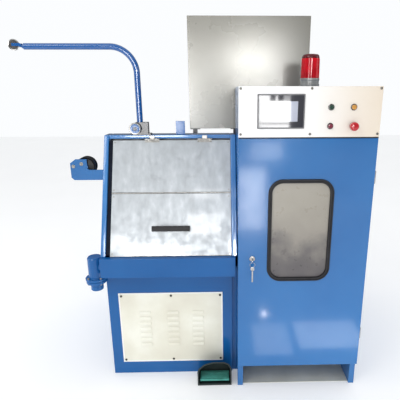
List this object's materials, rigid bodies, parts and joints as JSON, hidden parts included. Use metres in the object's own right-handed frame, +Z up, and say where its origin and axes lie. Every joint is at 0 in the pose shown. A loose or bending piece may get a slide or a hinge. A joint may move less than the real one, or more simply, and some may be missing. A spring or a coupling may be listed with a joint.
{
  "type": "wire drawing machine",
  "caption": "Fine wire drawing machine: leaning chamber with folding covers, take-up cabinet with windowed door, wire guide arm, rear drive housing and foot switch.",
  "frame": {"origin": "on the floor under the middle of the machine box", "axes": "+X from the pay-off side to the take-up cabinet, +Y to the rear, +Z up"},
  "size_m": [1.8, 1.13, 1.961],
  "materials": {
    "blue_paint": "gloss machine enamel",
    "cream_paint": "satin enamel",
    "stainless_sheet": "mottled stainless sheet",
    "lid_steel": "fine brushed stainless sheet",
    "screen_black": "screen in a dark bezel",
    "green_plastic": "gloss",
    "amber_plastic": "gloss",
    "red_plastic": "gloss",
    "beacon_red": "ribbed translucent lens",
    "beacon_grey": "matt",
    "black_rubber": "matt",
    "window_glass": "hazed",
    "bright_metal": "polished",
    "black_plastic": "matt",
    "black_steel": "black oxide",
    "hard_steel": "ground",
    "spool_grey": "matt",
    "cast_grey": "painted casting",
    "floor_grey": "matt enamel",
    "pedal_green": "hammer enamel"
  },
  "bodies": {
    "frame": {"cabinet_left_wall": "blue_paint", "cabinet_right_wall": "blue_paint", "cabinet_back_wall": "blue_paint", "cabinet_roof": "blue_paint", "control_bay_floor": "blue_paint", "cabinet_floor": "blue_paint", "door_posts": "blue_paint", "cabinet_sills": "blue_paint", "door_rails": "blue_paint", "base_front_wall": "blue_paint", "base_side_walls": "blue_paint", "coolant_tray": "blue_paint", "coolant_outlet": "blue_paint", "chamber_left_wall": "blue_paint", "chamber_right_wall": "blue_paint", "chamber_top_rail": "blue_paint", "stop_tab": "blue_paint", "guide_arm": "blue_paint", "arm_tip_fork": "blue_paint", "inlet_bracket": "blue_paint", "housing_side_walls": "blue_paint", "housing_back_wall": "blue_paint", "housing_front_wall": "blue_paint", "housing_roof": "blue_paint", "control_plate": "cream_paint", "base_cover_plate": "cream_paint", "chamber_back_plate": "stainless_sheet", "touch_screen": "screen_black", "start_button": "green_plastic", "reset_button": "amber_plastic", "stop_button": "red_plastic", "emergency_stop": "red_plastic", "beacon_dome": "beacon_red", "beacon_base": "beacon_grey", "cover_seal": "black_rubber", "door_hinge_pins": "bright_metal", "cover_hinges": "bright_metal", "arm_foot_bracket": "black_steel", "lid_hinge_blocks": "black_steel", "drawing_cones": "hard_steel", "take_up_spool": "spool_grey", "gearbox": "cast_grey", "main_motor": "cast_grey", "floor_plates": "floor_grey", "foot_switch_case": "pedal_green"},
    "door": {"cabinet_door": "blue_paint", "window_gasket": "black_rubber", "window_pane": "window_glass", "door_lock": "bright_metal", "door_hinge_sleeves": "bright_metal"},
    "upper_flap": {"upper_cover": "stainless_sheet", "cover_knuckles": "bright_metal"},
    "lower_flap": {"lower_cover": "stainless_sheet", "cover_handle": "black_plastic"},
    "lid": {"rear_lid": "lid_steel", "lid_hinge_arms": "black_steel"},
    "tip_wheel": {"arm_tip_wheel": "bright_metal"},
    "foot_wheel": {"arm_foot_wheel": "bright_metal"},
    "roller": {"inlet_roller": "black_plastic"},
    "pedal": {"foot_pedal": "pedal_green"}
  },
  "joints": [
    {"name": "door_hinge", "type": "hinge", "parent": "frame", "child": "door", "pos_m": [0.896, -0.509, 0.755], "axis": [0, 0, 1], "range_deg": [0, 110]},
    {"name": "upper_cover_hinge", "type": "hinge", "parent": "frame", "child": "upper_flap", "pos_m": [-0.0995, -0.21827, 1.33223], "axis": [-1, 0, 0], "range_deg": [0, 60]},
    {"name": "lower_cover_fold", "type": "hinge", "parent": "upper_flap", "child": "lower_flap", "pos_m": [-0.0995, -0.32739, 1.06565], "axis": [-1, 0, 0], "range_deg": [0, 150]},
    {"name": "lid_hinge", "type": "hinge", "parent": "frame", "child": "lid", "pos_m": [0.317, -0.07, 1.32], "axis": [-1, 0, 0], "range_deg": [0, 90]},
    {"name": "tip_wheel_spin", "type": "hinge", "parent": "frame", "child": "tip_wheel", "pos_m": [-0.873, -0.19, 1.804], "axis": [0, 1, 0], "continuous": true},
    {"name": "foot_wheel_spin", "type": "hinge", "parent": "frame", "child": "foot_wheel", "pos_m": [-0.289, -0.221, 1.388], "axis": [0, 1, 0], "continuous": true},
    {"name": "inlet_roller_spin", "type": "hinge", "parent": "frame", "child": "roller", "pos_m": [-0.549, -0.247, 1.198], "axis": [0, 1, 0], "continuous": true},
    {"name": "pedal_hinge", "type": "hinge", "parent": "frame", "child": "pedal", "pos_m": [0.115, -0.419, 0.024], "axis": [1, 0, 0], "range_deg": [0, 8], "stiffness_Nm_per_rad": 6, "springref_deg": -5.73}
  ]
}
